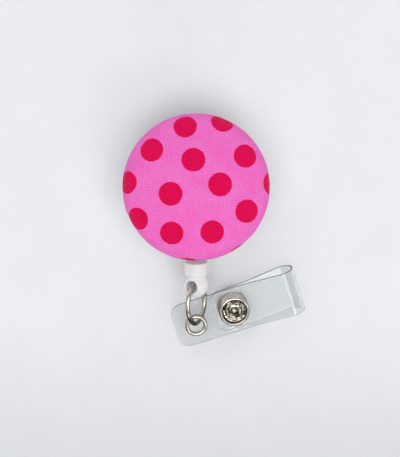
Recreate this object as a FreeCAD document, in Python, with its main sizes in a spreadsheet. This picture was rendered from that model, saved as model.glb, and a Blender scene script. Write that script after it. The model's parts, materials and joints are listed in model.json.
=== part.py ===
import FreeCAD, Part

# Retractable badge reel, in millimetres.
# Origin: on the spool axis, on the flat of the clip that the reel lies on. +Z points out of the
# fabric button, -Y is the way the cord leaves, +X is to the right when looking at the button.
# Each piece is drawn with the back face of the reel case at height 0, and the finished reel is
# then lifted by the clip's depth. The cord is home; the link and the clear strap hang from its end.

import math
import os

import Sketcher
from FreeCAD import Placement, Rotation, Vector

doc = FreeCAD.newDocument("badge_reel")
sheet = doc.addObject("Spreadsheet::Sheet", "sheet")


# ---- sizes that know their sheet formula ------------------------------------------------------

class Size:
    """A number together with the sheet formula that it comes from."""

    def __init__(self, value, formula):
        self.value = value
        self.formula = formula

    def __add__(self, other):
        other = as_size(other)
        return Size(self.value + other.value, f"({self.formula} + {other.formula})")

    def __sub__(self, other):
        other = as_size(other)
        return Size(self.value - other.value, f"({self.formula} - {other.formula})")

    def __rsub__(self, other):
        return as_size(other) - self

    def __mul__(self, other):
        other = as_size(other)
        return Size(self.value * other.value, f"({self.formula} * {other.formula})")

    def __truediv__(self, other):
        other = as_size(other)
        return Size(self.value / other.value, f"({self.formula} / {other.formula})")

    def __neg__(self):
        return Size(-self.value, f"(0 - {self.formula})")

    __radd__ = __add__
    __rmul__ = __mul__


def as_size(number):
    """A plain number becomes a Size with itself as its formula."""
    if isinstance(number, Size):
        return number
    return Size(float(number), f"({float(number)!r})")


def root(size):
    return Size(math.sqrt(size.value), f"sqrt({size.formula})")


def sine(degrees):
    return Size(math.sin(math.radians(degrees.value)), f"sin({degrees.formula})")


def cosine(degrees):
    return Size(math.cos(math.radians(degrees.value)), f"cos({degrees.formula})")


def angle_of_slope(rise):
    return Size(math.degrees(math.atan(rise.value)), f"(atan({rise.formula}) / 1 deg)")


def angle_of_sine(ratio):
    return Size(math.degrees(math.asin(ratio.value)), f"(asin({ratio.formula}) / 1 deg)")


def driving(alias, value, meaning):
    """Write one driving dimension in the sheet, and return it as a Size."""
    row = driving.row
    driving.row += 1
    sheet.set(f"A{row}", meaning)
    sheet.set(f"B{row}", str(value))
    sheet.setAlias(f"B{row}", alias)
    return Size(float(value), f"sheet.{alias}")


driving.row = 1


# ---- driving dimensions ---------------------------------------------------------------------

running_gap = driving("running_gap", 0.05, "radial clearance of a running fit")

# Fabric button: a size-60 covered button.
button_radius = driving("button_radius", 19.05, "outer radius over the fabric")
button_height = driving("button_height", 8.4, "height over the fabric")
crown_radius = driving("crown_radius", 42.0, "radius of the button's crown")
shoulder_radius = driving("shoulder_radius", 4.5, "radius of the button's shoulder")
rim_radius = driving("rim_radius", 0.95, "radius of the rolled rim, over the fabric")
fabric_thickness = driving("fabric_thickness", 0.4, "fabric thickness")
shell_thickness = driving("shell_thickness", 0.5, "button shell thickness")
fabric_tuck = driving("fabric_tuck", 2.0, "height of the fabric tucked inside the rim")
plate_thickness = driving("plate_thickness", 0.6, "back plate thickness")
plate_rim_height = driving("plate_rim_height", 1.8, "height of the back plate's rim")
pad_radius = driving("pad_radius", 13.0, "radius of the adhesive pad")
pad_thickness = driving("pad_thickness", 0.5, "thickness of the adhesive pad")

# Reel case: two moulded halves that part at the height of the cord.
case_radius = driving("case_radius", 16.0, "outer radius of the reel case")
case_depth = driving("case_depth", 8.0, "depth of the reel case")
case_wall = driving("case_wall", 1.5, "wall thickness of the reel case")
case_corner = driving("case_corner", 1.2, "rounding of the case's outer edges")
lip_height = driving("lip_height", 0.8, "height of the lip where the halves meet")
nozzle_radius = driving("nozzle_radius", 2.6, "outer radius of the cord nozzle")
nozzle_reach = driving("nozzle_reach", 18.2, "distance from the axis to the nozzle's mouth")
nozzle_bore = driving("nozzle_bore", 0.75, "bore radius of the nozzle")
funnel_radius = driving("funnel_radius", 2.4, "radius of the funnel inside the nozzle")
post_radius = driving("post_radius", 3.5, "outer radius of the spool post")
post_bore = driving("post_bore", 2.5, "bore radius of the spool post")

# Spool, power spring and wound cord.
flange_radius = driving("flange_radius", 13.9, "radius of the spool's flanges")
drum_radius = driving("drum_radius", 8.6, "radius that the cord is wound on")
drum_wall = driving("drum_wall", 0.6, "wall thickness of the spool's drum")
groove_width = driving("groove_width", 2.6, "height of the groove for the cord")
flange_thickness = driving("flange_thickness", 0.7, "thickness of the spool's flanges")
cord_radius = driving("cord_radius", 0.42, "radius of the nylon cord")
coil_layers = driving("coil_layers", 4, "layers of cord on the spool")
spring_thickness = driving("spring_thickness", 0.2, "thickness of the spring strip")
spring_half_turns = driving("spring_half_turns", 15, "half turns of the power spring")

# Cord end: collar and ball.
ball_radius = driving("ball_radius", 3.25, "radius of the ball")
ball_distance = driving("ball_distance", 25.35, "distance from the spool axis to the ball")
cord_droop = driving("cord_droop", 15.25, "droop of the cord end, degrees")
ball_to_collar = driving("ball_to_collar", 6.375, "distance from ball centre to collar face")
collar_radius = driving("collar_radius", 3.05, "radius of the collar")
neck_radius = driving("neck_radius", 2.45, "radius of the groove between ball and collar")
cross_hole = driving("cross_hole", 1.6, "radius of the hole across the ball")
hole_roll = driving("hole_roll", 30.0, "roll of the cross hole about the cord end, degrees")

# Link: an oval of wire.
wire_radius = driving("wire_radius", 0.6, "radius of the link's wire")
link_half_width = driving("link_half_width", 4.35, "half width of the link at the wire's centre")
link_end_radius = driving("link_end_radius", 3.2, "radius of the link's two ends")
link_length = driving("link_length", 11.2, "length of the link, wire centre to centre")
link_lift = driving("link_lift", 0.8, "how far the link's top sits above the hole's axis")

# Strap: a folded band of clear vinyl with an eyelet and a press snap.
eyelet_distance = driving("eyelet_distance", 10.9, "distance from ball centre to eyelet centre")
strap_heading = driving("strap_heading", 17.5, "heading of the strap from +X, degrees")
strap_roll = driving("strap_roll", 21.0, "roll of the strap about its length, degrees")
strap_width = driving("strap_width", 12.0, "width of the band")
vinyl_thickness = driving("vinyl_thickness", 0.6, "thickness of the band")
strap_corner = driving("strap_corner", 3.0, "corner radius of the band's ends")
edge_offset = driving("edge_offset", 0.9, "eyelet's offset from the band's centre line")
head_length = driving("head_length", 5.5, "band beyond the eyelet")
snap_distance = driving("snap_distance", 10.6, "eyelet centre to snap centre")
bend_distance = driving("bend_distance", 15.5, "eyelet centre to where the leaves part")
loop_distance = driving("loop_distance", 25.4, "eyelet centre to the centre of the fold")
loop_radius = driving("loop_radius", 2.8, "radius of the fold's centre line")
leaf_gap = driving("leaf_gap", 2.0, "gap between the leaves at the snap")
tail_length = driving("tail_length", 5.6, "band beyond the snap on the back leaf")
eyelet_bore = driving("eyelet_bore", 1.9, "bore radius of the eyelet")
eyelet_flange = driving("eyelet_flange", 2.9, "outer radius of the eyelet")
eyelet_height = driving("eyelet_height", 0.55, "height of the eyelet's roll above the band")
eyelet_wall = driving("eyelet_wall", 0.35, "wall thickness of the eyelet's barrel")
snap_radius = driving("snap_radius", 4.0, "radius of the snap's front ring")
snap_height = driving("snap_height", 1.5, "height of the snap's front ring")
snap_floor = driving("snap_floor", 0.3, "thickness of metal under the snap's recess")
snap_rim = driving("snap_rim", 1.05, "width of the snap's raised rim")
spring_ring = driving("spring_ring", 1.85, "radius of the round ridge inside the snap")
ridge_radius = driving("ridge_radius", 0.4, "half width of that ridge")
bead_radius = driving("bead_radius", 0.85, "radius of the bead in the snap's middle")
bead_rise = driving("bead_rise", 0.7, "height of the bead in the snap's middle")
rivet_wall = driving("rivet_wall", 0.4, "wall thickness of the barrels that hold the snap")
socket_roof = driving("socket_roof", 0.5, "thickness of the socket's roof")
stud_radius = driving("stud_radius", 1.5, "radius of the snap's stud")
stud_wall = driving("stud_wall", 0.65, "wall of the stud round the cap's barrel")
cap_edge = driving("cap_edge", 0.25, "straight edge of the cap")
cap_reach = driving("cap_reach", 1.0, "gap from the front leaf to the barrel's end")
stud_flange = driving("stud_flange", 0.4, "stud flange: its depth and how far it stays inside the rim")
stud_reach = driving("stud_reach", 0.65, "gap from the front leaf to the knob's top")
stud_waist = driving("stud_waist", 0.15, "how much the knob narrows at its waist")
stud_slope = driving("stud_slope", 0.25, "height of the knob's slopes")
stud_floor = driving("stud_floor", 0.35, "thickness of the knob's end")
stud_gap = driving("stud_gap", 0.3, "clearance of the stud in its socket")
cap_radius = driving("cap_radius", 4.2, "radius of the snap's rear cap")
cap_height = driving("cap_height", 0.8, "height of the snap's rear cap")

# Swivel clip.
clip_depth = driving("clip_depth", 6.5, "depth of the clip behind the case")
clip_corner = driving("clip_corner", 2.5, "corner radius of the clip's plate")
jaw_lip = driving("jaw_lip", 0.8, "height of the lip at the jaw's tip")
jaw_flat_gap = driving("jaw_flat_gap", 3.5, "from the jaw's tip back to the lever's flat")
bend_rise = driving("bend_rise", 1.2, "height of the bend before the jaw")
bend_run = driving("bend_run", 1.7, "length of the bend before the jaw")
clip_half_width = driving("clip_half_width", 5.0, "half width of the clip")
jaw_reach = driving("jaw_reach", 17.0, "spool axis to the jaw's tip")
tab_reach = driving("tab_reach", 16.0, "spool axis to the tab's end")
sheet_metal = driving("sheet_metal", 0.6, "thickness of the clip's sheet metal")
washer_thickness = driving("washer_thickness", 0.5, "thickness of the swivel washer")
rivet_radius = driving("rivet_radius", 1.2, "radius of the swivel rivet")
rivet_head = driving("rivet_head", 0.7, "thickness of the rivet's heads")
rivet_step = driving("rivet_step", 0.1, "how much smaller the outer head is")
hinge_distance = driving("hinge_distance", 5.5, "spool axis to the clip's hinge pin")
hinge_depth = driving("hinge_depth", 3.6, "depth of the clip's hinge pin behind the case")
pin_radius = driving("pin_radius", 0.8, "radius of the clip's hinge pin")
pin_head = driving("pin_head", 0.4, "thickness of the pin's heads")
ear_radius = driving("ear_radius", 1.9, "radius of the ears around the hinge pin")
hinge_relief = driving("hinge_relief", 10.0, "arc left out of the fold for the hinge, degrees")
clip_wire = driving("clip_wire", 0.25, "radius of the clip spring's wire")
clip_coil = driving("clip_coil", 1.3, "radius of the clip spring's coil")
clip_pitch = driving("clip_pitch", 0.8, "spacing of the spring's turns")
clip_leg = driving("clip_leg", 5.5, "length of the spring's legs")
clip_turns = driving("clip_turns", 5, "turns of the clip spring")

doc.recompute()


# ---- sketches and features ------------------------------------------------------------------

sub_parts = []


def bind(thing, path, size):
    """Tie one property, or one sketch constraint, to the sheet."""
    thing.setExpression(path, as_size(size).formula)


def new_body(name):
    part = doc.addObject("PartDesign::Body", name)
    part.Label = name
    sub_parts.append(part)
    return part


def new_sketch(part, plane, lift=0.0):
    """An empty sketch on one of the body's origin planes, lifted along the plane's normal."""
    base = next(f for f in part.Origin.OriginFeatures if f.Role == plane)
    sketch = part.newObject("Sketcher::SketchObject", part.Name + "_sketch")
    sketch.AttachmentSupport = [(base, "")]
    sketch.MapMode = "FlatFace"
    bind(sketch, "AttachmentOffset.Base.z", lift)
    return sketch


def measure(sketch, constraint, size):
    """Add a sketch dimension and tie it to the sheet."""
    index = sketch.addConstraint(constraint)
    name = f"size_{index}"
    sketch.renameConstraint(index, name)
    bind(sketch, f"Constraints.{name}", size)


def fix_point(sketch, geometry, position, x, y):
    measure(sketch, Sketcher.Constraint("DistanceX", -1, 1, geometry, position, x.value), x)
    measure(sketch, Sketcher.Constraint("DistanceY", -1, 1, geometry, position, y.value), y)


def arc_between(start, end, radius):
    """The arc from start to end: anticlockwise for a positive radius, clockwise for a negative."""
    if radius < 0:
        start, end = end, start
    chord = end - start
    middle = start + chord * 0.5
    left = Vector(-chord.y, chord.x, 0).normalize()
    reach = math.sqrt(max(radius ** 2 - (chord.Length / 2) ** 2, 0.0))
    centre = middle + left * reach
    first = math.atan2(start.y - centre.y, start.x - centre.x)
    last = math.atan2(end.y - centre.y, end.x - centre.x)
    circle = Part.Circle(centre, Vector(0, 0, 1), abs(radius))
    return Part.ArcOfCircle(circle, first, last if last > first else last + 2 * math.pi)


def outline(sketch, *corners, closed=True):
    """Draw an outline. A corner is (x, y), or (x, y, radius) when an arc leads to it."""
    corners = [tuple(as_size(number) for number in corner) for corner in corners]
    points = [Vector(corner[0].value, corner[1].value, 0) for corner in corners]
    ends = []
    for place, corner in enumerate(corners):
        if place == 0 and not closed:
            continue
        start, end = points[place - 1], points[place]
        if len(corner) == 2:
            edge = sketch.addGeometry(Part.LineSegment(start, end), False)
            ends.append((edge, 1, 2))
            continue
        radius = corner[2]
        edge = sketch.addGeometry(arc_between(start, end, radius.value), False)
        ends.append((edge, 1, 2) if radius.value > 0 else (edge, 2, 1))
        size = radius if radius.value > 0 else -radius
        measure(sketch, Sketcher.Constraint("Radius", edge, size.value), size)
    if not closed:
        fix_point(sketch, ends[0][0], ends[0][1], corners[0][0], corners[0][1])
    for place, (edge, _, tip) in enumerate(ends, 0 if closed else 1):
        fix_point(sketch, edge, tip, corners[place][0], corners[place][1])
    for place, (edge, _, tip) in enumerate(ends):
        if closed or place + 1 < len(ends):
            following, tail, _ = ends[(place + 1) % len(ends)]
            sketch.addConstraint(Sketcher.Constraint("Coincident", edge, tip, following, tail))
    return sketch


def circle(sketch, radius, x=0.0, y=0.0):
    """Draw a circle."""
    radius, x, y = as_size(radius), as_size(x), as_size(y)
    shape = Part.Circle(Vector(x.value, y.value, 0), Vector(0, 0, 1), radius.value)
    edge = sketch.addGeometry(shape, False)
    measure(sketch, Sketcher.Constraint("Radius", edge, radius.value), radius)
    fix_point(sketch, edge, 3, x, y)
    return sketch


def turned(part, sketch, kind="Revolution", axis="V_Axis"):
    """Turn a sketch a full circle about one of its axes: a Revolution adds, a Groove cuts."""
    feature = part.newObject("PartDesign::" + kind, part.Name + "_" + kind.lower())
    feature.Profile = (sketch, [""])
    feature.ReferenceAxis = (sketch, [axis])
    feature.Angle = 360.0
    part.Tip = feature
    return feature


def pad(part, sketch, length, middle=False):
    feature = part.newObject("PartDesign::Pad", part.Name + "_pad")
    feature.Profile = (sketch, [""])
    bind(feature, "Length", length)
    feature.Midplane = middle
    part.Tip = feature
    return feature


def drill(part, sketch):
    """Cut a sketch right through the body, both ways."""
    feature = part.newObject("PartDesign::Pocket", part.Name + "_pocket")
    feature.Profile = (sketch, [""])
    feature.Type = "ThroughAll"
    feature.Midplane = True
    part.Tip = feature
    return feature


def pipe(part, path, radius):
    """Sweep a round wire along a sketched path, from its first edge."""
    section = part.newObject("Sketcher::SketchObject", part.Name + "_section")
    section.AttachmentSupport = [(path, "Edge1")]
    section.MapMode = "NormalToEdge"
    circle(section, radius)
    feature = part.newObject("PartDesign::AdditivePipe", part.Name + "_pipe")
    feature.Profile = (section, [""])
    feature.Spine = (path, [f"Edge{n + 1}" for n in range(path.GeometryCount)])
    part.Tip = feature
    return feature


# ---- fabric button --------------------------------------------------------------------------

button_base = case_depth + pad_thickness
shoulder_reach = button_radius - shoulder_radius
rim_level = button_height - crown_radius + root(
    (crown_radius - shoulder_radius) * (crown_radius - shoulder_radius)
    - shoulder_reach * shoulder_reach)
rim_reach = button_radius - rim_radius


def dome(depth, back=False):
    """Corners of the dome's section, this far under the fabric, from the axis to the rim or back."""
    crown, shoulder = crown_radius - depth, shoulder_radius - depth
    top = (0, button_base + button_height - depth)
    spread = shoulder_reach / (crown_radius - shoulder_radius)
    meeting_x = spread * crown
    meeting_y = (button_base + button_height - crown_radius
                 + root(crown * crown - meeting_x * meeting_x))
    meeting = (meeting_x, meeting_y)
    rim = (button_radius - depth, button_base + rim_level)
    if back:
        return [meeting + (shoulder,), top + (crown,)]
    return [top, meeting + (-crown,), rim + (-shoulder,)]


def make_fabric_cover():
    """A taut skin over the shell, turned around the rim and tucked up inside it."""
    part = new_body("fabric_cover")
    inner_rim = rim_radius - fabric_thickness
    level = button_base + rim_level
    tuck = button_base + fabric_tuck
    sketch = new_sketch(part, "XZ_Plane")
    outline(sketch,
            *dome(0.0),
            (rim_reach, level - rim_radius, -rim_radius),
            (rim_reach - rim_radius, level, -rim_radius),
            (rim_reach - rim_radius, tuck),
            (rim_reach - inner_rim, tuck),
            (rim_reach - inner_rim, level),
            (rim_reach, level - inner_rim, inner_rim),
            (rim_reach + inner_rim, level, inner_rim),
            *dome(fabric_thickness, back=True))
    turned(part, sketch)


def make_button_shell():
    """A domed metal shell with a rolled rim."""
    part = new_body("button_shell")
    roll = rim_radius - fabric_thickness
    level = button_base + rim_level
    tuck = button_base + fabric_tuck
    depth = fabric_thickness + shell_thickness
    inner_shoulder = shoulder_radius - depth
    rise = fabric_tuck - rim_level
    hem = shoulder_reach + root(inner_shoulder * inner_shoulder - rise * rise)
    sketch = new_sketch(part, "XZ_Plane")
    outline(sketch,
            *dome(fabric_thickness),
            (rim_reach, level - roll, -roll),
            (rim_reach - roll, level, -roll),
            (rim_reach - roll, tuck),
            (hem, tuck),
            *dome(depth, back=True))
    turned(part, sketch)


def make_button_back_plate():
    """A shallow pan pressed up inside the fabric's tuck."""
    part = new_body("button_back_plate")
    outer = rim_reach - rim_radius
    inner = outer - plate_thickness
    floor = button_base + plate_thickness
    top = button_base + plate_rim_height
    corner = plate_thickness * 0.8
    sketch = new_sketch(part, "XZ_Plane")
    outline(sketch,
            (0, button_base),
            (outer - corner, button_base),
            (outer, button_base + corner, corner),
            (outer, top),
            (inner, top),
            (inner, floor),
            (0, floor))
    turned(part, sketch)


def make_adhesive_pad():
    part = new_body("adhesive_pad")
    sketch = circle(new_sketch(part, "XY_Plane", case_depth), pad_radius)
    pad(part, sketch, pad_thickness)


make_fabric_cover()
make_button_shell()
make_button_back_plate()
make_adhesive_pad()


# ---- reel case ------------------------------------------------------------------------------

split_level = case_depth / 2
case_inside = case_radius - case_wall
case_ceiling = case_depth - case_wall
lip_radius = case_inside + case_wall / 2
nozzle_root = lip_radius + 2 * running_gap
funnel_start = case_inside - 0.3
funnel_end = funnel_start + funnel_radius


def add_nozzle(part, side):
    """One half of the cord nozzle: side is 1 for the half above the split, -1 for the half below."""
    sketch = new_sketch(part, "XZ_Plane", nozzle_root)
    arc = nozzle_radius * side
    outline(sketch,
            (nozzle_radius, split_level),
            (0, split_level + arc, arc),
            (-nozzle_radius, split_level, arc))
    pad(part, sketch, nozzle_reach - nozzle_root)
    bore = new_sketch(part, "XY_Plane", split_level)
    outline(bore,
            (0, -funnel_start),
            (0, -(nozzle_reach + 1)),
            (nozzle_bore, -(nozzle_reach + 1)),
            (nozzle_bore, -funnel_end),
            (funnel_radius, -funnel_start))
    turned(part, bore, "Groove")


def make_front_case():
    """The front half: a cup with a rebate around its edge and a spigot that plugs the post."""
    part = new_body("front_case")
    rebate = split_level + lip_height + running_gap
    spigot = post_bore - running_gap
    sketch = new_sketch(part, "XZ_Plane")
    outline(sketch,
            (0, case_depth),
            (case_radius - case_corner, case_depth),
            (case_radius, case_depth - case_corner, -case_corner),
            (case_radius, split_level),
            (lip_radius, split_level),
            (lip_radius, rebate),
            (case_inside, rebate),
            (case_inside, case_ceiling),
            (spigot, case_ceiling),
            (spigot, split_level),
            (0, split_level))
    turned(part, sketch)
    add_nozzle(part, 1)


def make_rear_case():
    """The rear half: a cup with a lip, the hollow spool post and the hole for the swivel rivet."""
    part = new_body("rear_case")
    rivet_hole = rivet_radius + running_gap
    post_top = case_ceiling - 0.3
    lip_outside = lip_radius - running_gap
    sketch = new_sketch(part, "XZ_Plane")
    outline(sketch,
            (rivet_hole, 0),
            (rivet_hole, case_wall),
            (post_bore, case_wall),
            (post_bore, post_top),
            (post_radius, post_top),
            (post_radius, case_wall),
            (case_inside, case_wall),
            (case_inside, split_level + lip_height),
            (lip_outside, split_level + lip_height),
            (lip_outside, split_level),
            (case_radius, split_level),
            (case_radius, case_corner),
            (case_radius - case_corner, 0, -case_corner))
    turned(part, sketch)
    add_nozzle(part, -1)


# ---- spool, spring and cord -----------------------------------------------------------------

groove_floor = split_level - groove_width / 2
groove_roof = split_level + groove_width / 2
drum_inside = drum_radius - drum_wall
coil_radius = drum_radius + 2 * cord_radius * coil_layers


def make_spool():
    """Two flanges on a drum. The web closes the front of the drum; the spring sits behind it."""
    part = new_body("spool")
    bore = post_radius + running_gap
    sketch = new_sketch(part, "XZ_Plane")
    outline(sketch,
            (bore, groove_roof),
            (bore, groove_roof + flange_thickness),
            (flange_radius, groove_roof + flange_thickness),
            (flange_radius, groove_roof),
            (drum_radius, groove_roof),
            (drum_radius, groove_floor),
            (flange_radius, groove_floor),
            (flange_radius, groove_floor - flange_thickness),
            (drum_inside, groove_floor - flange_thickness),
            (drum_inside, groove_roof))
    turned(part, sketch)


def make_cord_coil():
    """The wound cord: one ring whose outside shows its strands as ridges."""
    part = new_body("cord_coil")
    strands = 3
    inside = drum_radius + running_gap
    lowest = groove_floor + running_gap
    pitch = (groove_width - 2 * running_gap) / strands
    valley = coil_radius - cord_radius * 0.7
    ridges = [(valley, lowest + pitch * (n + 1), cord_radius * 1.05) for n in range(strands)]
    sketch = new_sketch(part, "XZ_Plane")
    outline(sketch,
            (inside, lowest),
            (valley, lowest),
            *ridges,
            (inside, lowest + pitch * strands))
    turned(part, sketch)


def make_power_spring():
    """A flat spiral strip between the post and the drum, made of half circles that grow."""
    half_turns = int(sheet.spring_half_turns)
    strip = sheet.spring_thickness
    gap = sheet.running_gap
    first = sheet.post_radius + gap
    last = sheet.drum_radius - sheet.drum_wall - gap - strip
    growth = (last - first) / half_turns
    level = groove_floor.value - sheet.flange_thickness + 2 * gap
    height = groove_roof.value - 2 * gap - level

    def half_circle(n, offset):
        side = (-1) ** n
        start = side * (first + offset + growth * n)
        end = -side * (first + offset + growth * (n + 1))
        middle, radius = (start + end) / 2, abs(start - end) / 2
        crest = Vector(middle, side * radius, level)
        return Part.Arc(Vector(start, 0, level), crest, Vector(end, 0, level)).toShape()

    inner = [half_circle(n, 0.0) for n in range(half_turns)]
    outer = [half_circle(n, strip) for n in range(half_turns)]
    start_cut = Part.LineSegment(inner[0].Vertexes[0].Point, outer[0].Vertexes[0].Point).toShape()
    end_cut = Part.LineSegment(inner[-1].Vertexes[-1].Point, outer[-1].Vertexes[-1].Point).toShape()
    edges = inner + outer + [start_cut, end_cut]
    face = Part.Face(Part.Wire(Part.__sortEdges__(edges)))
    part = doc.addObject("Part::Feature", "power_spring")
    part.Label = "power_spring"
    part.Shape = face.extrude(Vector(0, 0, height))
    sub_parts.append(part)


lead_end = funnel_start + 1.2
lead_bend = 1.2
bend_reach = nozzle_reach + 1.0


def make_cord_lead():
    """The run of cord that leaves the coil at a tangent and turns into the nozzle."""
    part = new_body("cord_lead")
    tangent = coil_radius + cord_radius + running_gap
    sideways = root(lead_end * lead_end - tangent * tangent) / lead_end
    forward = tangent / lead_end
    trim = lead_bend * (1 - sideways) / forward
    path = outline(new_sketch(part, "XY_Plane", split_level),
                   (tangent * sideways, -(tangent * forward)),
                   (trim * forward, -(lead_end - trim * sideways)),
                   (0, -(lead_end + trim), lead_bend),
                   closed=False)
    pipe(part, path, cord_radius)


def make_cord_tail():
    """The moving end of the cord: through the nozzle, then down into the cord end."""
    part = new_body("cord_tail")
    bend = 3.0
    start = lead_end + lead_bend
    held = ball_to_collar - 4.0
    trim = bend * sine(cord_droop) / (1 + cosine(cord_droop))
    path = outline(new_sketch(part, "YZ_Plane"),
                   (-start, split_level),
                   (-(bend_reach - trim), split_level),
                   (-(bend_reach + trim * cosine(cord_droop)),
                    split_level - trim * sine(cord_droop), bend),
                   (-(bend_reach + held * cosine(cord_droop)),
                    split_level - held * sine(cord_droop)),
                   closed=False)
    pipe(part, path, cord_radius)


make_front_case()
make_rear_case()
make_spool()
make_cord_coil()
make_power_spring()
make_cord_lead()
make_cord_tail()


# ---- cord end and link ----------------------------------------------------------------------

def frame_from(origin, x_axis, z_axis):
    """A placement from its origin, its x axis and its z axis."""
    return Placement(origin, Rotation(x_axis, z_axis.cross(x_axis), z_axis, "XYZ"))


droop = math.radians(cord_droop.value)
roll = math.radians(hole_roll.value)
cord_direction = Vector(0, -math.cos(droop), -math.sin(droop))
cord_upward = Vector(0, -math.sin(droop), math.cos(droop))
ball_drop = (ball_distance.value - bend_reach.value) * math.tan(droop)
ball_centre = Vector(0, -ball_distance.value, split_level.value - ball_drop)
hole_direction = Vector(-math.sin(roll), 0, 0) + cord_upward * math.cos(roll)
cord_end_frame = frame_from(
    ball_centre, cord_direction.cross(hole_direction), -cord_direction)


def round_edges(part, radius, wanted):
    """Round the edges of the body's tip that the wanted function picks."""
    doc.recompute()
    solid = part.Tip
    names = [f"Edge{n + 1}" for n, edge in enumerate(solid.Shape.Edges) if wanted(edge)]
    feature = part.newObject("PartDesign::Fillet", part.Name + "_fillet")
    feature.Base = (solid, names)
    bind(feature, "Radius", radius)
    part.Tip = feature


def make_cord_end():
    """Collar and ball in one moulding: z from the ball to the collar, y along the cross hole."""
    part = new_body("cord_end")
    neck_level = root(ball_radius * ball_radius - neck_radius * neck_radius)
    collar_edge = 0.4
    cord_bore = cord_radius + running_gap
    bore_end = 3.8
    sketch = new_sketch(part, "XZ_Plane")
    outline(sketch,
            (0, -ball_radius),
            (neck_radius, neck_level, ball_radius),
            (neck_radius, neck_level + collar_edge),
            (collar_radius, neck_level + 2 * collar_edge),
            (collar_radius, ball_to_collar - collar_edge),
            (collar_radius - collar_edge, ball_to_collar, collar_edge),
            (cord_bore, ball_to_collar),
            (cord_bore, bore_end),
            (0, bore_end))
    turned(part, sketch)
    drill(part, circle(new_sketch(part, "XZ_Plane"), cross_hole))
    mouth = math.sqrt(ball_radius.value ** 2 - cross_hole.value ** 2)
    round_edges(part, 0.3, lambda edge: abs(abs(edge.CenterOfMass.y) - mouth) < 0.1)
    part.Placement = cord_end_frame


def make_link_ring():
    """An oval of wire through the ball's cross hole, lying in the cord end's y-z plane."""
    part = new_body("link_ring")
    side = link_half_width
    end = link_end_radius
    centre = link_lift - link_length / 2
    end_centre = link_length / 2 - end
    flank = (side * side + end_centre * end_centre - end * end) / (2 * (side - end))
    lean = (flank - side) / (flank - end)
    touch = end * lean
    rise = end_centre * (1 + end / (flank - end))
    path = outline(new_sketch(part, "YZ_Plane"),
                   (touch, centre - rise, end),
                   (touch, centre + rise, flank),
                   (0, link_lift, end),
                   (-touch, centre + rise, end),
                   (-touch, centre - rise, flank),
                   (0, link_lift - link_length, end))
    pipe(part, path, wire_radius)
    part.Placement = cord_end_frame


# ---- clear strap ----------------------------------------------------------------------------
# The strap's frame has its origin in the middle of the eyelet, x along the band towards the fold,
# y across the band and z out of its front.

heading = math.radians(strap_heading.value)
tilt = math.radians(strap_roll.value)
along = Vector(math.cos(heading), math.sin(heading), 0)
level_across = Vector(-math.sin(heading), math.cos(heading), 0)
outwards = Vector(0, 0, 1) * math.cos(tilt) - level_across * math.sin(tilt)
eyelet_centre = ball_centre + cord_direction * eyelet_distance.value
strap_frame = frame_from(eyelet_centre, along, outwards)
snap_frame = strap_frame * Placement(
    Vector(snap_distance.value, edge_offset.value, 0), Rotation())

skin = vinyl_thickness / 2
half_step = (leaf_gap + vinyl_thickness) / 2
loop_run = loop_distance - bend_distance
loop_slope = (angle_of_sine(loop_radius / root(loop_run * loop_run + half_step * half_step))
              - angle_of_slope(half_step / loop_run))
bend_shift = skin * sine(loop_slope) / (1 + cosine(loop_slope))
post_barrel = stud_radius + 2 * running_gap
cap_barrel = stud_radius - stud_wall


def on_fold(radius, slope, side):
    """The point of the fold at this radius where a leaf with this slope touches it."""
    return (loop_distance - radius * sine(slope), radius * cosine(slope) * side - half_step)


def pad_band(part, sketch_corners, free_end):
    """Pad a band's section over its width, and round the two corners of its free end."""
    sketch = new_sketch(part, "XZ_Plane", -edge_offset)
    outline(sketch, *sketch_corners)
    pad(part, sketch, strap_width, middle=True)
    round_edges(part, strap_corner, lambda edge: (
        abs(edge.CenterOfMass.x - free_end.value) < 0.01
        and abs(edge.Length - vinyl_thickness.value) < 0.01))
    part.Placement = strap_frame


def make_strap_front_leaf():
    """The front run of the band, with the fold at its far end."""
    part = new_body("strap_front_leaf")
    inner, outer = loop_radius - skin, loop_radius + skin
    cut = loop_slope - hinge_relief
    pad_band(part, [
        (-head_length, -skin),
        (bend_distance + bend_shift, -skin),
        on_fold(inner, loop_slope, 1),
        (loop_distance + inner, -half_step, -inner),
        on_fold(inner, cut, -1) + (-inner,),
        on_fold(outer, cut, -1),
        (loop_distance + outer, -half_step, outer),
        on_fold(outer, loop_slope, 1) + (outer,),
        (bend_distance - bend_shift, skin),
        (-head_length, skin)], -head_length)
    barrel = eyelet_bore + 0.35 + running_gap
    drill(part, circle(new_sketch(part, "XY_Plane"), barrel))
    hole = new_sketch(part, "XY_Plane")
    drill(part, circle(hole, post_barrel + running_gap, snap_distance, edge_offset))


def make_strap_back_leaf():
    """The rear run of the band, from its rounded hinge edge at the fold to its free tail."""
    part = new_body("strap_back_leaf")
    level = -2 * half_step
    tail = snap_distance - tail_length
    hinge_x, hinge_z = on_fold(loop_radius, loop_slope, -1)
    side_x, side_z = skin * sine(loop_slope), skin * cosine(loop_slope)
    pad_band(part, [
        (tail, level - skin),
        (bend_distance - bend_shift, level - skin),
        (hinge_x - side_x, hinge_z - side_z),
        (hinge_x + side_z, hinge_z - side_x, skin),
        (hinge_x + side_x, hinge_z + side_z, skin),
        (bend_distance + bend_shift, level + skin),
        (tail, level + skin)], tail)
    hole = new_sketch(part, "XY_Plane")
    drill(part, circle(hole, cap_barrel + running_gap, snap_distance, edge_offset))


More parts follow.
